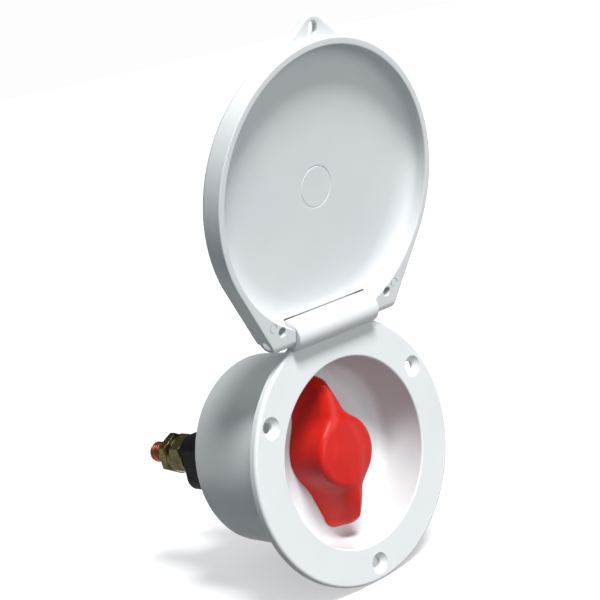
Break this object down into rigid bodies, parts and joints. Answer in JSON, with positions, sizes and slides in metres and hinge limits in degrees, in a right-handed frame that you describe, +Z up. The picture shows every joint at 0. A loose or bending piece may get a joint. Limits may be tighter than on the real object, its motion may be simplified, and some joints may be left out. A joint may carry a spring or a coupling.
{
  "type": "recessed battery switch with hinged lid",
  "caption": "Round recessed battery isolator switch for a boat panel, with a hinged splash lid, a turning handle in a bowl, and stud terminals at the back.",
  "frame": {"origin": "centre of the flange's back face, in the plane of the panel that it lies on", "axes": "+Z up towards the lid's hinge, +Y into the panel along the knob's axis, +X to the right of someone facing the panel"},
  "size_m": [0.129, 0.1557, 0.252],
  "materials": {
    "white_abs": "satin moulded white plastic with a cool grey shade",
    "red_plastic": "smooth glossy red moulding",
    "black_phenolic": "matt black moulding",
    "grey_nylon": "natural grey nylon",
    "copper": "bare copper, slightly dulled",
    "yellow_zinc": "yellow passivated zinc plate",
    "stainless": "plain stainless steel",
    "black_rubber": "black nitrile rubber"
  },
  "bodies": {
    "enclosure": {"housing": "white_abs", "rear_cover": "white_abs", "switch_body": "black_phenolic", "terminal_block": "black_phenolic", "stud_left": "copper", "stud_right": "copper", "flat_washer_left": "yellow_zinc", "nut_left": "yellow_zinc", "spring_washer_left": "yellow_zinc", "jam_nut_left": "yellow_zinc", "flat_washer_right": "yellow_zinc", "nut_right": "yellow_zinc", "spring_washer_right": "yellow_zinc", "jam_nut_right": "yellow_zinc", "return_spring": "stainless", "cover_screw_upper": "stainless", "cover_screw_lower": "stainless", "body_screw_1": "stainless", "body_screw_2": "stainless", "body_screw_3": "stainless", "body_screw_4": "stainless", "panel_seal": "black_rubber"},
    "lid": {"lid": "white_abs", "hinge_pin_left": "stainless", "hinge_pin_right": "stainless"},
    "knob": {"knob": "red_plastic", "knob_set_screw": "stainless", "shaft": "stainless", "shaft_seal": "black_rubber", "retaining_clip": "stainless", "cam_rotor": "grey_nylon"},
    "contacts": {"contact_carrier": "grey_nylon", "contact_bridge": "copper", "contact_spring": "stainless"}
  },
  "joints": [
    {"name": "lid_hinge", "type": "hinge", "parent": "enclosure", "child": "lid", "pos_m": [0, -0.0048, 0.0604], "axis": [1, 0, 0], "range_deg": [0, 167]},
    {"name": "knob_turn", "type": "hinge", "parent": "enclosure", "child": "knob", "pos_m": [0, 0, 0], "axis": [0, 1, 0], "range_deg": [0, 90]},
    {"name": "contact_slide", "type": "slide", "parent": "enclosure", "child": "contacts", "axis": [0, 1, 0], "range_m": [0, 0.004], "deforming": ["return_spring"]}
  ],
  "couplings": [
    {"joint": "contact_slide", "follows": "knob_turn", "m_per_rad": 0.002546}
  ]
}
